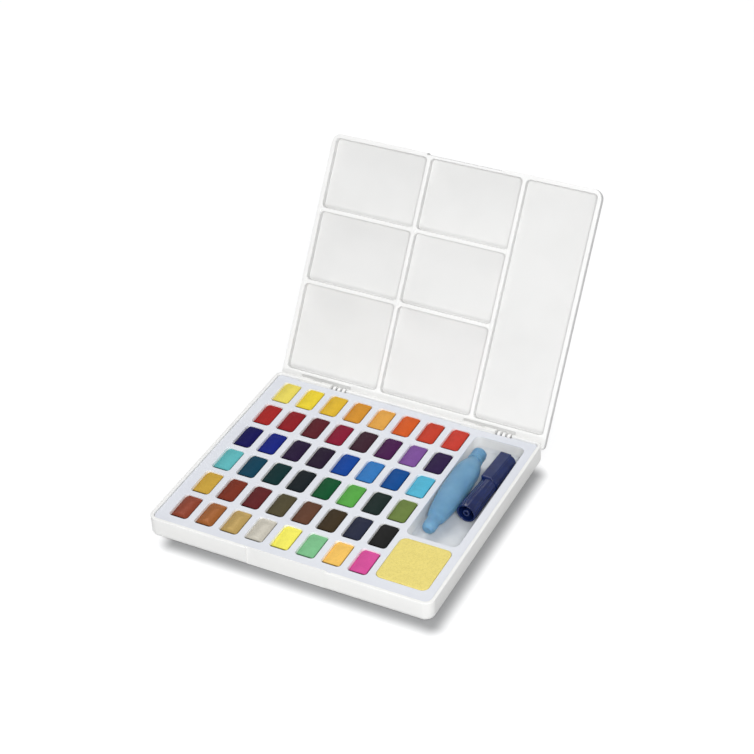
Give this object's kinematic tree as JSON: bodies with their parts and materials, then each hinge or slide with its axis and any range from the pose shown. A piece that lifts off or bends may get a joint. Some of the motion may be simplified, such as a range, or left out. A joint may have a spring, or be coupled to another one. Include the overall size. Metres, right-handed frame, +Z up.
{
  "type": "watercolour paint box",
  "caption": "Shallow hinged paint box, standing open: a lid with mixing wells, a tray of paint cakes in pockets, and compartments for a sponge and a two-part water brush.",
  "frame": {"origin": "centre of the base's underside", "axes": "+X to the right along the hinge, +Y from the front edge to the hinge, +Z up"},
  "size_m": [0.18, 0.2474, 0.139],
  "materials": {
    "white_plastic": "satin white moulded polystyrene",
    "tray_plastic": "satin pale grey insert",
    "hinge_steel": "drawn wire",
    "sponge_foam": "fine-celled soft foam",
    "tank_plastic": "translucent blue, soft squeeze plastic",
    "navy_plastic": "glossy navy",
    "bristle_nylon": "fine nylon hair",
    "paint_lemon": "dry pressed paint, slightly satin",
    "paint_sun_yellow": "dry pressed paint, slightly satin",
    "paint_maize": "dry pressed paint, slightly satin",
    "paint_indian_yellow": "dry pressed paint, slightly satin",
    "paint_apricot": "dry pressed paint, slightly satin",
    "paint_orange": "dry pressed paint, slightly satin",
    "paint_scarlet": "dry pressed paint, slightly satin",
    "paint_vermilion": "dry pressed paint, slightly satin",
    "paint_carmine": "dry pressed paint, slightly satin",
    "paint_crimson": "dry pressed paint, slightly satin",
    "paint_madder": "dry pressed paint, slightly satin",
    "paint_alizarin": "dry pressed paint, slightly satin",
    "paint_plum": "dry pressed paint, slightly satin",
    "paint_aubergine": "dry pressed paint, slightly satin",
    "paint_lilac": "dry pressed paint, slightly satin",
    "paint_violet": "dry pressed paint, slightly satin",
    "paint_indigo": "dry pressed paint, slightly satin",
    "paint_ultramarine": "dry pressed paint, slightly satin",
    "paint_midnight": "dry pressed paint, slightly satin",
    "paint_ink": "dry pressed paint, slightly satin",
    "paint_cobalt": "dry pressed paint, slightly satin",
    "paint_azure": "dry pressed paint, slightly satin",
    "paint_phthalo_blue": "dry pressed paint, slightly satin",
    "paint_sky_blue": "dry pressed paint, slightly satin",
    "paint_turquoise": "dry pressed paint, slightly satin",
    "paint_petrol": "dry pressed paint, slightly satin",
    "paint_pine": "dry pressed paint, slightly satin",
    "paint_black_green": "dry pressed paint, slightly satin",
    "paint_viridian": "dry pressed paint, slightly satin",
    "paint_leaf_green": "dry pressed paint, slightly satin",
    "paint_moss_black": "dry pressed paint, slightly satin",
    "paint_olive": "dry pressed paint, slightly satin",
    "paint_ochre": "dry pressed paint, slightly satin",
    "paint_sienna": "dry pressed paint, slightly satin",
    "paint_red_brown": "dry pressed paint, slightly satin",
    "paint_umber": "dry pressed paint, slightly satin",
    "paint_walnut": "dry pressed paint, slightly satin",
    "paint_sepia": "dry pressed paint, slightly satin",
    "paint_slate": "dry pressed paint, slightly satin",
    "paint_black": "dry pressed paint, slightly satin",
    "paint_copper": "dry pressed paint with metallic flakes",
    "paint_bronze": "dry pressed paint with metallic flakes",
    "paint_gold": "dry pressed paint with metallic flakes",
    "paint_pearl": "dry pressed paint with metallic flakes",
    "paint_neon_yellow": "dry pressed paint, slightly satin",
    "paint_neon_green": "dry pressed paint, slightly satin",
    "paint_neon_orange": "dry pressed paint, slightly satin",
    "paint_neon_pink": "dry pressed paint, slightly satin"
  },
  "bodies": {
    "base": {"base_shell": "white_plastic", "colour_tray": "tray_plastic", "hinge_pin_left": "hinge_steel", "hinge_pin_right": "hinge_steel", "paint_r1c1": "paint_lemon", "paint_r1c2": "paint_sun_yellow", "paint_r1c3": "paint_maize", "paint_r1c4": "paint_indian_yellow", "paint_r1c5": "paint_apricot", "paint_r1c6": "paint_orange", "paint_r1c7": "paint_scarlet", "paint_r1c8": "paint_vermilion", "paint_r2c1": "paint_carmine", "paint_r2c2": "paint_crimson", "paint_r2c3": "paint_madder", "paint_r2c4": "paint_alizarin", "paint_r2c5": "paint_plum", "paint_r2c6": "paint_aubergine", "paint_r2c7": "paint_lilac", "paint_r2c8": "paint_violet", "paint_r3c1": "paint_indigo", "paint_r3c2": "paint_ultramarine", "paint_r3c3": "paint_midnight", "paint_r3c4": "paint_ink", "paint_r3c5": "paint_cobalt", "paint_r3c6": "paint_azure", "paint_r3c7": "paint_phthalo_blue", "paint_r3c8": "paint_sky_blue", "paint_r4c1": "paint_turquoise", "paint_r4c2": "paint_petrol", "paint_r4c3": "paint_pine", "paint_r4c4": "paint_black_green", "paint_r4c5": "paint_viridian", "paint_r4c6": "paint_leaf_green", "paint_r4c7": "paint_moss_black", "paint_r4c8": "paint_olive", "paint_r5c1": "paint_ochre", "paint_r5c2": "paint_sienna", "paint_r5c3": "paint_red_brown", "paint_r5c4": "paint_umber", "paint_r5c5": "paint_walnut", "paint_r5c6": "paint_sepia", "paint_r5c7": "paint_slate", "paint_r5c8": "paint_black", "paint_r6c1": "paint_copper", "paint_r6c2": "paint_bronze", "paint_r6c3": "paint_gold", "paint_r6c4": "paint_pearl", "paint_r6c5": "paint_neon_yellow", "paint_r6c6": "paint_neon_green", "paint_r6c7": "paint_neon_orange", "paint_r6c8": "paint_neon_pink"},
    "lid": {"lid_shell": "white_plastic"},
    "sponge": {"sponge": "sponge_foam"},
    "tank": {"water_tank": "tank_plastic"},
    "brush_cap": {"brush_cap": "navy_plastic"},
    "brush_head": {"brush_grip": "navy_plastic", "brush_bristles": "bristle_nylon"}
  },
  "joints": [
    {"name": "lid_hinge", "type": "hinge", "parent": "base", "child": "lid", "pos_m": [0, 0.0775, 0.01025], "axis": [-1, 0, 0], "range_deg": [-123, 0]},
    {"name": "sponge_lift", "type": "slide", "parent": "base", "child": "sponge", "axis": [0, 0, 1], "range_m": [0, 0.03]},
    {"name": "tank_lift", "type": "slide", "parent": "base", "child": "tank", "axis": [0, 0, 1], "range_m": [0, 0.04]},
    {"name": "brush_lift", "type": "slide", "parent": "base", "child": "brush_cap", "axis": [0, 0, 1], "range_m": [0, 0.05]},
    {"name": "cap_pull", "type": "slide", "parent": "brush_cap", "child": "brush_head", "axis": [-0.0523, -0.9986, 0], "range_m": [0, 0.02]}
  ]
}
